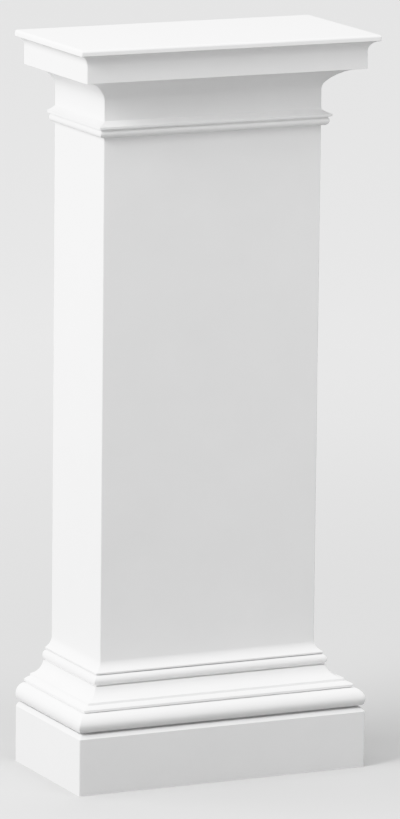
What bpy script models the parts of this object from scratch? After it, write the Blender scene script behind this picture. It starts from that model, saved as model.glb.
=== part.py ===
"""Half column for a wall, cast in one piece: plinth, moulded base, plain shaft, neck ring and moulded cap.

Run with: blender --background --python part.py

Units are metres and +Z is up. The front faces -Y, and the flat back, which goes against the wall, faces +Y.
The origin lies on the floor, under the middle of the column's bounding box.
The mouldings return round both sides with mitred corners and stop square at the back.
"""

import math

import bmesh
import bpy

# Overall sizes
column_height = 0.848
shaft_width = 0.270
shaft_depth = 0.135

# Soft upright arris that the casting mould leaves at the two front corners
arris_radius = 0.0014
arris_facets = 3

# Every projection below is measured out from the shaft's face, and every height is that member's own.
# A sweep is how far an arc turns: 90 is a quarter round, and a hollow turns the other way.

# Plinth with a sloping head
plinth_projection = 0.0446
plinth_height = 0.0653
slope_head_projection = 0.0410
slope_height = 0.0045

# Deep shadow groove between plinth and torus
groove_projection = 0.0350
groove_height = 0.0030

# Torus, the large round member of the base
torus_foot_projection = 0.0430
torus_head_projection = 0.0360
torus_height = 0.0191
torus_sweep = math.radians(108)

# Stepped fillet over the torus, on a fine quirk
step_quirk_projection = 0.0322
step_quirk_height = 0.0016
step_projection = 0.0344
step_height = 0.0025
shoulder_projection = 0.0272
shoulder_height = 0.0030
shoulder_sweep = math.radians(35)
riser_projection = 0.0266
riser_height = 0.0032

# Scotia, the wide hollow of the base
scotia_head_projection = 0.0106
scotia_height = 0.0136
scotia_sweep = math.radians(78)

# Bead over the scotia, with a narrow quirk under it and another on top
bead_foot_quirk_projection = 0.0078
bead_foot_quirk_height = 0.0016
bead_foot_projection = 0.0094
bead_head_projection = 0.0058
bead_height = 0.0110
bead_sweep = math.radians(140)
bead_quirk_height = 0.0010

# Flare that runs the base out of the shaft, with a narrow lip
lip_projection = 0.0082
lip_height = 0.0020
flare_height = 0.0116
flare_sweep = math.radians(64)

# Neck ring: a bead under a lip, with a hollow ledge on top
ring_foot_projection = 0.0020
ring_foot_height = 0.0004
ring_bead_head_projection = 0.0060
ring_bead_height = 0.0086
ring_bead_sweep = math.radians(136)
ring_quirk_height = 0.0018
ring_lip_projection = 0.0096
ring_lip_height = 0.0027
ledge_height = 0.0054
ledge_sweep = math.radians(30)

# Plain neck, and the cove that carries the crown: it leaves the neck in a tight curve and then opens out
neck_height = 0.0223
cove_foot_projection = 0.0033
cove_foot_height = 0.0090
cove_foot_sweep = math.radians(40)
cove_projection = 0.0372
cove_height = 0.0175
cove_sweep = math.radians(45)

# Crown: fascia, cavetto and a top slab with a rounded upper edge
fascia_projection = 0.0386
soffit_fall = 0.0003
fascia_height = 0.0193
cavetto_projection = 0.0489
cavetto_height = 0.0130
cavetto_sweep = math.radians(84)
slab_projection = 0.0500
slab_foot_height = 0.0006
slab_height = 0.0064
slab_edge_radius = 0.0030

# One flat facet on an arc turns this much at most
facet_turn = math.radians(8)

# Finish: hard foam under white primer
primer_white = (0.87, 0.87, 0.86, 1.0)
primer_roughness = 0.55
sharp_from = math.radians(28)


class Section:
    """The outline of a moulding, from its foot up, as points of projection and height."""

    def __init__(self, projection):
        self.points = [(projection, 0.0)]

    def straight(self, projection, rise):
        """Run straight to a projection while climbing by rise."""
        self.points.append((projection, self.points[-1][1] + rise))

    def swell(self, projection, rise, sweep):
        """Run to a projection along an arc that bulges out, or is hollow where the sweep is negative."""
        foot_out, foot_up = self.points[-1]
        run = projection - foot_out
        chord = math.hypot(run, rise)
        radius = chord / (2 * math.sin(abs(sweep) / 2))
        side = math.copysign(1.0, sweep)
        facets = max(2, math.ceil(abs(sweep) / facet_turn))
        for index in range(1, facets):
            turn = abs(sweep) * (index / facets - 0.5)
            along = chord / 2 + radius * math.sin(turn)
            bulge = side * radius * (math.cos(turn) - math.cos(sweep / 2))
            out = foot_out + (along * run + bulge * rise) / chord
            up = foot_up + (along * rise - bulge * run) / chord
            self.points.append((out, up))
        self.points.append((projection, foot_up + rise))

    def hollow(self, projection, rise, sweep):
        """Run to a projection along an arc that is hollow."""
        self.swell(projection, rise, -sweep)

    def height(self):
        return self.points[-1][1]


def base_section():
    """Plinth, torus, scotia, bead and flare, from the floor to the foot of the plain shaft."""
    section = Section(plinth_projection)
    section.straight(plinth_projection, plinth_height)
    section.straight(slope_head_projection, slope_height)
    section.straight(groove_projection, 0.0)
    section.straight(groove_projection, groove_height)
    section.straight(torus_foot_projection, 0.0)
    section.swell(torus_head_projection, torus_height, torus_sweep)
    section.straight(step_quirk_projection, 0.0)
    section.straight(step_quirk_projection, step_quirk_height)
    section.straight(step_projection, 0.0)
    section.straight(step_projection, step_height)
    section.swell(shoulder_projection, shoulder_height, shoulder_sweep)
    section.straight(riser_projection, riser_height)
    section.hollow(scotia_head_projection, scotia_height, scotia_sweep)
    section.straight(bead_foot_quirk_projection, 0.0)
    section.straight(bead_foot_quirk_projection, bead_foot_quirk_height)
    section.straight(bead_foot_projection, 0.0)
    section.swell(bead_head_projection, bead_height, bead_sweep)
    section.straight(bead_head_projection, bead_quirk_height)
    section.straight(lip_projection, 0.0)
    section.straight(lip_projection, lip_height)
    section.hollow(0.0, flare_height, flare_sweep)
    return section


def cap_section():
    """Neck ring, neck, cove, fascia, cavetto and top slab, from the head of the plain shaft up."""
    section = Section(0.0)
    section.straight(ring_foot_projection, ring_foot_height)
    section.swell(ring_bead_head_projection, ring_bead_height, ring_bead_sweep)
    section.straight(ring_bead_head_projection, ring_quirk_height)
    section.straight(ring_lip_projection, 0.0)
    section.straight(ring_lip_projection, ring_lip_height)
    section.hollow(0.0, ledge_height, ledge_sweep)
    section.straight(0.0, neck_height)
    section.hollow(cove_foot_projection, cove_foot_height, cove_foot_sweep)
    section.hollow(cove_projection, cove_height, cove_sweep)
    section.straight(fascia_projection, -soffit_fall)
    section.straight(fascia_projection, fascia_height)
    section.hollow(cavetto_projection, cavetto_height, cavetto_sweep)
    section.straight(slab_projection, slab_foot_height)
    section.straight(slab_projection, slab_height - slab_edge_radius)
    section.swell(slab_projection - slab_edge_radius, slab_edge_radius, math.pi / 2)
    return section


def column_outline():
    """The whole outline from floor to top. The plain shaft takes the height that base and cap leave."""
    base = base_section()
    cap = cap_section()
    cap_foot = column_height - cap.height()
    raised_cap = [(out, up + cap_foot) for out, up in cap.points]
    return base.points + raised_cap


def plan_loop(projection, back_y):
    """Plan at one level: from the back left corner round both front corners to the back right corner."""
    half_width = shaft_width / 2 + projection
    front_y = back_y - shaft_depth - projection
    right_corner = []
    for index in range(arris_facets + 1):
        angle = -math.pi / 2 + index / arris_facets * math.pi / 2
        x = half_width - arris_radius + arris_radius * math.cos(angle)
        y = front_y + arris_radius + arris_radius * math.sin(angle)
        right_corner.append((x, y))
    right_half = right_corner + [(half_width, back_y)]
    left_half = [(-x, y) for x, y in reversed(right_half)]
    return left_half + right_half


def foam_material():
    material = bpy.data.materials.new("primed_foam")
    material.use_nodes = True
    shader = material.node_tree.nodes["Principled BSDF"]
    shader.inputs["Base Color"].default_value = primer_white
    shader.inputs["Roughness"].default_value = primer_roughness
    shader.inputs["Metallic"].default_value = 0.0
    return material


def build_half_column():
    """Sweep the outline round the left side, front and right side, and close back, foot and top flat."""
    outline = column_outline()
    depth = shaft_depth + max(projection for projection, level in outline)
    back_y = depth / 2

    mesh = bpy.data.meshes.new("half_column")
    work = bmesh.new()
    rings = []
    for projection, level in outline:
        loop = plan_loop(projection, back_y)
        rings.append([work.verts.new((x, y, level)) for x, y in loop])

    for lower, upper in zip(rings, rings[1:]):
        for start in range(len(lower) - 1):
            end = start + 1
            work.faces.new((lower[start], lower[end], upper[end], upper[start]))

    left_edge = [ring[0] for ring in rings]
    right_edge = [ring[-1] for ring in rings]
    work.faces.new(left_edge + right_edge[::-1])
    work.faces.new(rings[0])
    work.faces.new(rings[-1])
    bmesh.ops.recalc_face_normals(work, faces=work.faces)
    work.to_mesh(mesh)
    work.free()

    mesh.shade_smooth()
    mesh.set_sharp_from_angle(angle=sharp_from)
    mesh.materials.append(foam_material())
    column = bpy.data.objects.new("half_column", mesh)
    bpy.context.scene.collection.objects.link(column)
    return column


for old_object in list(bpy.data.objects):
    bpy.data.objects.remove(old_object)
build_half_column()
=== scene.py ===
"""Looks of the half column: one white primed casting of hard foam, on a pale floor in soft studio light.

Units are metres and +Z is up. The front faces -Y and the flat back faces +Y, as in the frame.
"""

import math

import bmesh
import bpy
from mathutils import Matrix, Vector


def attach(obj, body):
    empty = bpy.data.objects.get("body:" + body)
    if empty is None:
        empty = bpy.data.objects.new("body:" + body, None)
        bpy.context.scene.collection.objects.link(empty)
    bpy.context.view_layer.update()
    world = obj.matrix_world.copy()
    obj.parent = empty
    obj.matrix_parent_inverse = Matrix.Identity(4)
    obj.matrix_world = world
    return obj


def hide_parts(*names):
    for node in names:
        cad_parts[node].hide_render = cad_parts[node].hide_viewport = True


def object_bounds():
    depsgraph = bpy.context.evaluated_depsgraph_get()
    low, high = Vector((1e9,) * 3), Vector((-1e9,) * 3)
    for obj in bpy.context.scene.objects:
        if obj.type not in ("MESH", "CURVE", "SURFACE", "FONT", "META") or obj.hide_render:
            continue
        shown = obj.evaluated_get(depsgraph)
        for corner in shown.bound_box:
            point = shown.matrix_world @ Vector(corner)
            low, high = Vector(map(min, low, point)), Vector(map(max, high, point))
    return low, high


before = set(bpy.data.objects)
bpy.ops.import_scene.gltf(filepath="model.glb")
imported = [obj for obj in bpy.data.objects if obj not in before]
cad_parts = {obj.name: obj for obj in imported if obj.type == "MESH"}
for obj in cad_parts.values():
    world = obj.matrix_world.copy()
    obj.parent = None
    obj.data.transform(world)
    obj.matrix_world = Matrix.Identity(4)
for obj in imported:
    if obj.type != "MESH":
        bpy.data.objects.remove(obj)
cad_low, cad_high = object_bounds()

NODE = "half_column"
BODY = "root"
mm = 0.001

# Form of the casting
arris_radius = 0.3 * mm
corner_radius = 1.3 * mm
softened_facets = 3
crisp_from = math.radians(24)
mesh_step = 8 * mm
wave_height = 0.3 * mm
wave_length = 90 * mm
wave_seed = 4.0
sharp_from = math.radians(40)

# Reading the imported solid: the decimals that tell two points apart, how near the back plane counts as on it,
# and how far a face's normal has to lean to the back for the face to be part of it
point_decimals = 6
touching = 0.01 * mm
back_lean = 0.9

# Primer coat, glossier where it lies thicker
polymer_ior = 1.5
cloud_width = 60 * mm
thin_coat_roughness = 0.62
thick_coat_roughness = 0.48
peel_width = 2.4 * mm
peel_height = 0.02 * mm

# Bare foam back
bare_roughness = 0.8
skin_width = 14 * mm
skin_height = 0.12 * mm
pore_spacing = 5.0 * mm
pore_radius = 0.4 * mm
pore_rim = 0.8 * mm

# Camera, fitted to the column's corners in the photo
image_height = 819
focal_pixels = 6511.0
sensor_size = 36.0
camera_azimuth = math.radians(-25.11)
camera_elevation = math.radians(11.02)
camera_roll = math.radians(0.61)
camera_distance = 7.517
aim = Vector((0.0502, 0.0925, 0.3953))

# Light: a sun is (where it comes from, strength, angle), and a softbox is (place, watts)
suns = {"key": ((-4.2, -1.0, 3.3), 0.94, math.radians(24)),
        "ceiling": ((0.0, 0.0, 1.0), 2.63, math.radians(60))}
softboxes = {"right": ((1.3, -1.6, 0.9), 9.9),
             "front": ((0.3, -1.3, 2.0), 7.3),
             "left": ((-1.6, -0.3, 1.5), 22.0),
             "left back": ((-2.4, 1.6, 0.75), 28.5)}
softbox_size = 1.0
softbox_aim = Vector((0, 0, 0.45))
room_light = 0.16
backdrop_light = 0.80

# Camera response: even up to the knee, then a soft shoulder that nears white
knee = 0.6
shoulder_reach = 3.0
shoulder_points = 12

# Floor: painted shade, darkest inside the core of the softboxes' light round the casting, and at the floor's
# full tone outside the patch
floor_size = 60.0
painted_shade_core = 0.2
painted_shade_patch = 3.0


def linear(hex_colour):
    """An sRGB hex colour as linear red, green, blue and an alpha of one."""
    channels = [int(hex_colour[start:start + 2], 16) / 255 for start in (1, 3, 5)]
    return [c / 12.92 if c <= 0.04045 else ((c + 0.055) / 1.055) ** 2.4 for c in channels] + [1.0]


def add(tree, kind, inputs=None, **settings):
    """Add a node with its settings.

    Each input, by identifier, is linked where its value is a node or a socket, and otherwise set to it.
    """
    node = tree.nodes.new(kind)
    for name, value in settings.items():
        setattr(node, name, value)
    sockets = {socket.identifier: socket for socket in node.inputs}
    for name, value in (inputs or {}).items():
        if isinstance(value, bpy.types.Node):
            value = next(output for output in value.outputs if output.enabled)
        if isinstance(value, bpy.types.NodeSocket):
            tree.links.new(value, sockets[name])
        else:
            sockets[name].default_value = value
    return node


# The casting's form

def packed_outline():
    """The moulding's outline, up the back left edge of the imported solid, as points of x and height."""
    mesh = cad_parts[NODE].data
    beside = {}
    for face in mesh.polygons:
        if face.normal.y > back_lean:
            continue
        corners = [mesh.vertices[index].co for index in face.vertices]
        on_edge = [corner for corner in corners if corner.x < 0 and corner.y > cad_high.y - touching]
        ends = {(round(corner.x, point_decimals), round(corner.z, point_decimals)) for corner in on_edge}
        if len(ends) == 2:
            first, second = ends
            beside.setdefault(first, []).append(second)
            beside.setdefault(second, []).append(first)
    path = [min(beside, key=lambda point: point[1])]
    while True:
        onward = [point for point in beside[path[-1]] if point not in path]
        if not onward:
            return path
        path.append(onward[0])


def guide_curve(name, points):
    """A guide of straight runs through the points."""
    curve = bpy.data.curves.new(name, "CURVE")
    curve.dimensions = "3D"
    spline = curve.splines.new("POLY")
    spline.points.add(len(points) - 1)
    for corner, place in zip(spline.points, points):
        corner.co = (*place, 1.0)
    guide = bpy.data.objects.new(name, curve)
    bpy.context.scene.collection.objects.link(guide)
    return guide


def neighbour(tree, value, step):
    """A field's value at the point that lies step places on along the guide."""
    index = add(tree, "GeometryNodeInputIndex")
    there = add(tree, "FunctionNodeIntegerMath", {"Value": index, "Value_001": step}, operation="ADD")
    return add(tree, "GeometryNodeFieldAtIndex", {"Value": value, "Index": there}, data_type="FLOAT_VECTOR")


def softened(tree, guide, radius):
    """Round a guide's crisp corners, and leave the shallow ones between the facets of its arcs."""
    here = add(tree, "GeometryNodeInputPosition")
    arrive = add(tree, "ShaderNodeVectorMath", {"Vector": here, "Vector_001": neighbour(tree, here, -1)},
                 operation="SUBTRACT")
    leave = add(tree, "ShaderNodeVectorMath", {"Vector": neighbour(tree, here, 1), "Vector_001": here},
                operation="SUBTRACT")
    along_in = add(tree, "ShaderNodeVectorMath", {"Vector": arrive}, operation="NORMALIZE")
    along_out = add(tree, "ShaderNodeVectorMath", {"Vector": leave}, operation="NORMALIZE")
    straightness = add(tree, "ShaderNodeVectorMath", {"Vector": along_in, "Vector_001": along_out},
                       operation="DOT_PRODUCT")
    crisp = add(tree, "ShaderNodeMath", {"Value": straightness, "Value_001": math.cos(crisp_from)},
                operation="LESS_THAN")
    rounding = add(tree, "ShaderNodeMath", {"Value": crisp, "Value_001": radius}, operation="MULTIPLY")
    return add(tree, "GeometryNodeFilletCurve",
               {"Curve": guide, "Count": softened_facets, "Radius": rounding, "Limit Radius": True},
               mode="POLY")


def subdivided(tree, guide, step):
    """Cut every run of a guide into pieces no longer than step."""
    here = add(tree, "GeometryNodeInputPosition")
    run = add(tree, "ShaderNodeVectorMath", {"Vector": here, "Vector_001": neighbour(tree, here, 1)},
              operation="DISTANCE")
    pieces = add(tree, "ShaderNodeMath", {"Value": run, "Value_001": step}, operation="DIVIDE")
    cuts = add(tree, "FunctionNodeFloatToInt", {"Float": pieces}, rounding_mode="FLOOR")
    return add(tree, "GeometryNodeSubdivideCurve", {"Curve": guide, "Cuts": cuts})


def moulding_sweep():
    """Node tree that carries the outline round the plan, as a grid of courses by stations.

    Courses run from foot to top, and stations from left to right. A point's place is its station on the
    plan, pushed out by its course's projection and raised by its height.
    """
    tree = bpy.data.node_groups.new("moulding sweep", "GeometryNodeTree")
    sockets = {"Outline": "Object", "Plan": "Object", "Plan Centre": "Vector", "Plan Reach": "Vector",
               "Arris Radius": "Float", "Corner Radius": "Float", "Mesh Step": "Float",
               "Wave Height": "Float", "Wave Length": "Float", "Wave Seed": "Float", "Finish": "Material"}
    for name, kind in sockets.items():
        tree.interface.new_socket(name, in_out="INPUT", socket_type="NodeSocket" + kind)
    tree.interface.new_socket("Casting", in_out="OUTPUT", socket_type="NodeSocketGeometry")
    size = add(tree, "NodeGroupInput").outputs

    guides = []
    for name, radius in (("Outline", "Arris Radius"), ("Plan", "Corner Radius")):
        drawn = add(tree, "GeometryNodeObjectInfo", {"Object": size[name]}).outputs["Geometry"]
        guides.append(subdivided(tree, softened(tree, drawn, size[radius]), size["Mesh Step"]))
    outline, plan = guides
    courses = add(tree, "GeometryNodeAttributeDomainSize", {"Geometry": outline}, component="CURVE")
    stations = add(tree, "GeometryNodeAttributeDomainSize", {"Geometry": plan}, component="CURVE")
    grid = add(tree, "GeometryNodeMeshGrid", {"Vertices X": courses, "Vertices Y": stations})

    index = add(tree, "GeometryNodeInputIndex")
    course = add(tree, "FunctionNodeIntegerMath", {"Value": index, "Value_001": stations},
                 operation="DIVIDE_FLOOR")
    station = add(tree, "FunctionNodeIntegerMath", {"Value": index, "Value_001": stations},
                  operation="MODULO")
    here = add(tree, "GeometryNodeInputPosition")
    on_outline = add(tree, "GeometryNodeSampleIndex", {"Geometry": outline, "Value": here, "Index": course},
                     data_type="FLOAT_VECTOR")
    on_plan = add(tree, "GeometryNodeSampleIndex", {"Geometry": plan, "Value": here, "Index": station},
                  data_type="FLOAT_VECTOR")
    profile = add(tree, "ShaderNodeSeparateXYZ", {"Vector": on_outline}).outputs
    height = add(tree, "ShaderNodeCombineXYZ", {"Z": profile["Z"]})
    raised = add(tree, "ShaderNodeVectorMath", {"Vector": on_plan, "Vector_001": height}, operation="ADD")

    closeness = add(tree, "ShaderNodeMath", {"Value": 1.0, "Value_001": size["Wave Length"]},
                    operation="DIVIDE")
    wave = add(tree, "ShaderNodeTexNoise",
               {"Vector": raised, "W": size["Wave Seed"], "Scale": closeness, "Detail": 1.0},
               noise_dimensions="4D")
    hollow = add(tree, "ShaderNodeMath", {"Value": wave, "Value_001": size["Wave Height"]},
                 operation="MULTIPLY")
    outward = add(tree, "ShaderNodeMath", {"Value": profile["X"], "Value_001": hollow},
                  operation="SUBTRACT")

    from_centre = add(tree, "ShaderNodeVectorMath", {"Vector": on_plan, "Vector_001": size["Plan Centre"]},
                      operation="SUBTRACT")
    mitre = add(tree, "ShaderNodeVectorMath", {"Vector": from_centre, "Vector_001": size["Plan Reach"]},
                operation="DIVIDE")
    push = add(tree, "ShaderNodeVectorMath", {"Vector": mitre, "Scale": outward}, operation="SCALE")
    place = add(tree, "ShaderNodeVectorMath", {"Vector": raised, "Vector_001": push}, operation="ADD")

    skin = add(tree, "GeometryNodeSetPosition", {"Geometry": grid.outputs["Mesh"], "Position": place})
    for name, value in (("course", course), ("station", station)):
        skin = add(tree, "GeometryNodeStoreNamedAttribute", {"Geometry": skin, "Name": name, "Value": value},
                   data_type="INT")
    real = add(tree, "GeometryNodeRealizeInstances", {"Geometry": skin})
    finished = add(tree, "GeometryNodeSetMaterial", {"Geometry": real, "Material": size["Finish"]})
    add(tree, "NodeGroupOutput", {tree.interface.items_tree["Casting"].identifier: finished})
    return tree


def close_flat_faces(mesh):
    """Close foot, top and back of the swept skin flat, and turn every face outwards.

    The back takes the second material slot.
    """
    work = bmesh.new()
    work.from_mesh(mesh)
    course = work.verts.layers.int["course"]
    station = work.verts.layers.int["station"]
    top_course = max(vert[course] for vert in work.verts)
    last_station = max(vert[station] for vert in work.verts)
    foot = [vert for vert in work.verts if vert[course] == 0]
    top = [vert for vert in work.verts if vert[course] == top_course]
    left = [vert for vert in work.verts if vert[station] == 0]
    right = [vert for vert in work.verts if vert[station] == last_station]
    flats = [work.faces.new(rim) for rim in (foot, top, left + right[::-1])]
    flats[-1].material_index = 1
    bmesh.ops.recalc_face_normals(work, faces=work.faces)
    bmesh.ops.triangulate(work, faces=flats)
    work.to_mesh(mesh)
    work.free()


def finished_mesh(piece):
    """The piece's mesh with its modifiers applied."""
    graph = bpy.context.evaluated_depsgraph_get()
    return bpy.data.meshes.new_from_object(piece.evaluated_get(graph))


def cast_column(primer, back_finish):
    """The casting: mouldings and shaft swept round left side, front and right side, and a flat back."""
    edge = packed_outline()
    half_width = -max(x for x, height in edge)
    projections = [-x - half_width for x, height in edge]
    shaft_depth = cad_high.y - cad_low.y - max(projections)
    back = cad_high.y
    front = back - shaft_depth
    outline = guide_curve("outline", [(out, 0.0, height) for out, (x, height) in zip(projections, edge)])
    plan = guide_curve("plan", [(-half_width, back, 0), (-half_width, front, 0),
                                (half_width, front, 0), (half_width, back, 0)])

    column = bpy.data.objects.new("half_column_casting", bpy.data.meshes.new("half_column_casting"))
    bpy.context.scene.collection.objects.link(column)
    tree = moulding_sweep()
    sizes = {"Outline": outline, "Plan": plan,
             "Plan Centre": (0, back, 0), "Plan Reach": (half_width, shaft_depth, 1),
             "Arris Radius": arris_radius, "Corner Radius": corner_radius, "Mesh Step": mesh_step,
             "Wave Height": wave_height, "Wave Length": wave_length, "Wave Seed": wave_seed,
             "Finish": primer}
    sweep = column.modifiers.new("moulding sweep", "NODES")
    sweep.node_group = tree
    for name, value in sizes.items():
        sweep[tree.interface.items_tree[name].identifier] = value
    mesh = finished_mesh(column)
    column.modifiers.remove(sweep)
    for guide in (outline, plan):
        bpy.data.objects.remove(guide)

    mesh.materials.append(back_finish)
    close_flat_faces(mesh)
    for name in ("course", "station"):
        mesh.attributes.remove(mesh.attributes[name])
    mesh.shade_smooth()
    mesh.set_sharp_from_angle(angle=sharp_from)
    column.data = mesh
    even = column.modifiers.new("even shading", "WEIGHTED_NORMAL")
    even.keep_sharp = True
    column.data = finished_mesh(column)
    column.modifiers.remove(even)
    return column


# Finishes

def new_material(name):
    """An empty material, with its node tree and Object coordinates."""
    material = bpy.data.materials.new(name)
    material.use_nodes = True
    material.node_tree.nodes.clear()
    place = add(material.node_tree, "ShaderNodeTexCoord").outputs["Object"]
    return material, material.node_tree, place


def primed_foam():
    """Hard polyurethane foam, foamed in a closed mould and sprayed with white primer.

    The eye gets an even satin white, with the fine orange peel of the spray and faint clouds where the coat
    is thicker. The orange peel is drawn at about twice its real width, because the real one is too fine to
    show.
    """
    material, tree, place = new_material("primed_hard_polyurethane_foam")
    cloud = add(tree, "ShaderNodeTexNoise", {"Vector": place, "Scale": 1 / cloud_width, "Detail": 3.0})
    coat = add(tree, "ShaderNodeMix",
               {"Factor_Float": cloud, "A_Color": linear("#EEEEEE"), "B_Color": linear("#F4F4F4")},
               data_type="RGBA")
    gloss = add(tree, "ShaderNodeMapRange",
                {"Value": cloud, "To Min": thin_coat_roughness, "To Max": thick_coat_roughness})
    peel = add(tree, "ShaderNodeTexNoise", {"Vector": place, "Scale": 1 / peel_width, "Detail": 2.0})
    relief = add(tree, "ShaderNodeBump", {"Height": peel, "Distance": peel_height})
    shader = add(tree, "ShaderNodeBsdfPrincipled",
                 {"Base Color": coat, "Roughness": gloss, "Normal": relief, "IOR": polymer_ior})
    add(tree, "ShaderNodeOutputMaterial", {"Surface": shader})
    return material


def bare_foam():
    """The same foam left bare on the back, which goes against the wall.

    The eye gets a duller, creamier white, a skin that is slightly uneven, and scattered pinholes of burst
    bubbles.
    """
    material, tree, place = new_material("bare_polyurethane_foam")
    skin = add(tree, "ShaderNodeTexNoise", {"Vector": place, "Scale": 1 / skin_width, "Detail": 4.0})
    colour = add(tree, "ShaderNodeMix",
                 {"Factor_Float": skin, "A_Color": linear("#E2DCCB"), "B_Color": linear("#EFEBDF")},
                 data_type="RGBA")
    bubble = add(tree, "ShaderNodeTexVoronoi", {"Vector": place, "Scale": 1 / pore_spacing})
    pore = add(tree, "ShaderNodeMapRange",
               {"Value": bubble.outputs["Distance"],
                "From Min": pore_radius / pore_spacing, "From Max": pore_rim / pore_spacing})
    shade = add(tree, "ShaderNodeMix",
                {"Factor_Float": pore, "A_Color": linear("#C9C0A8"), "B_Color": colour},
                data_type="RGBA")
    level = add(tree, "ShaderNodeMath", {"Value": skin, "Value_001": pore}, operation="ADD")
    relief = add(tree, "ShaderNodeBump", {"Height": level, "Distance": skin_height})
    shader = add(tree, "ShaderNodeBsdfPrincipled",
                 {"Base Color": shade, "Roughness": bare_roughness, "Normal": relief, "IOR": polymer_ior})
    add(tree, "ShaderNodeOutputMaterial", {"Surface": shader})
    return material


def studio_floor():
    """Matt painted studio floor, a neutral grey, with painted shade round the casting, where the softboxes
    light it.

    Only the camera sees it pale. What it throws back is duller, so that the undersides keep their shade.
    """
    material, tree, place = new_material("matt_floor_paint")
    distance = add(tree, "ShaderNodeVectorMath", {"Vector": place}, operation="LENGTH")
    out_of_painted_shade = add(tree, "ShaderNodeMapRange",
               {"Value": distance, "From Min": painted_shade_core, "From Max": painted_shade_patch},
               interpolation_type="SMOOTHSTEP")
    # Painted shade: the floor's colour is darker near the casting, where the softboxes light it, and paler far
    # off
    colour = add(tree, "ShaderNodeMix",
                 {"Factor_Float": out_of_painted_shade, "A_Color": linear("#B9B9B9"), "B_Color": linear("#DCDCDC")},
                 data_type="RGBA")
    seen = add(tree, "ShaderNodeBsdfDiffuse", {"Color": colour})
    thrown_back = add(tree, "ShaderNodeBsdfDiffuse", {"Color": linear("#898989")})
    by_camera = add(tree, "ShaderNodeLightPath").outputs["Is Camera Ray"]
    shader = add(tree, "ShaderNodeMixShader", {"Fac": by_camera, "Shader": thrown_back, "Shader_001": seen})
    add(tree, "ShaderNodeOutputMaterial", {"Surface": shader})
    return material


# Studio

def add_floor():
    """A wide flat floor under the casting, which is not part of it."""
    work = bmesh.new()
    bmesh.ops.create_grid(work, size=floor_size / 2)
    mesh = bpy.data.meshes.new("floor")
    work.to_mesh(mesh)
    work.free()
    mesh.materials.append(studio_floor())
    floor = bpy.data.objects.new("floor", mesh)
    bpy.context.scene.collection.objects.link(floor)


def add_lamp(name, kind, energy, towards):
    """A lamp that shines from a direction, which is the way from its target to it."""
    lamp = bpy.data.objects.new(name, bpy.data.lights.new(name, kind))
    lamp.data.energy = energy
    lamp.rotation_euler = towards.to_track_quat("Z", "Y").to_euler()
    bpy.context.scene.collection.objects.link(lamp)
    return lamp


def add_light():
    """A soft key from high on the left, almost along the front, a wide ceiling light and the softboxes."""
    for name, (towards, strength, angle) in suns.items():
        add_lamp(name, "SUN", strength, Vector(towards)).data.angle = angle
    for name, (place, watts) in softboxes.items():
        softbox = add_lamp(name, "AREA", watts, Vector(place) - softbox_aim)
        softbox.location = place
        softbox.data.size = softbox_size
        softbox.visible_camera = False


def add_room():
    """A dim room round the casting, with a pale backdrop that only the camera sees."""
    world = bpy.data.worlds.new("studio")
    world.use_nodes = True
    tree = world.node_tree
    tree.nodes.clear()
    by_camera = add(tree, "ShaderNodeLightPath").outputs["Is Camera Ray"]
    strength = add(tree, "ShaderNodeMapRange",
                   {"Value": by_camera, "To Min": room_light, "To Max": backdrop_light})
    air = add(tree, "ShaderNodeBackground", {"Color": (1, 1, 1, 1), "Strength": strength})
    add(tree, "ShaderNodeOutputWorld", {"Surface": air})
    bpy.context.scene.world = world


def add_camera():
    """The photograph's camera: far off, to the left of the front, and looking down a little.

    The sensor's width spans the picture's longer side, which is its height.
    """
    out = Vector((math.sin(camera_azimuth) * math.cos(camera_elevation),
                  -math.cos(camera_azimuth) * math.cos(camera_elevation),
                  math.sin(camera_elevation)))
    level = Vector((math.cos(camera_azimuth), math.sin(camera_azimuth), 0))
    upright = out.cross(level)
    right = level * math.cos(camera_roll) + upright * math.sin(camera_roll)
    up = upright * math.cos(camera_roll) - level * math.sin(camera_roll)
    lens = bpy.data.cameras.new("camera")
    lens.sensor_width = sensor_size
    lens.lens = focal_pixels * sensor_size / image_height
    lens.clip_end = 2 * floor_size
    camera = bpy.data.objects.new("camera", lens)
    turn = Matrix((right, up, out)).transposed().to_4x4()
    camera.matrix_world = Matrix.Translation(aim + out * camera_distance) @ turn
    bpy.context.scene.collection.objects.link(camera)
    bpy.context.scene.camera = camera


def soften_highlights():
    """Give the view a camera's soft shoulder, so that faces in full light keep their tone short of white."""
    view = bpy.context.scene.view_settings
    view.view_transform = "Standard"
    view.use_curve_mapping = True
    response = view.curve_mapping
    response.white_level = (shoulder_reach, shoulder_reach, shoulder_reach)
    every_channel = 3
    curve = response.curves[every_channel]
    curve.points[-1].location = (1.0, 1.0)
    headroom = 1 - knee
    for index in range(shoulder_points):
        level = knee + (shoulder_reach - knee) * (index / shoulder_points) ** 2
        shown = knee + headroom * (1 - math.exp((knee - level) / headroom))
        curve.points.new(level / shoulder_reach, shown)
    for point in curve.points:
        point.handle_type = "VECTOR"
    response.update()


add_camera()
add_light()
add_room()
add_floor()
soften_highlights()

casting = cast_column(primed_foam(), bare_foam())
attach(casting, BODY)
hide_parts(NODE)
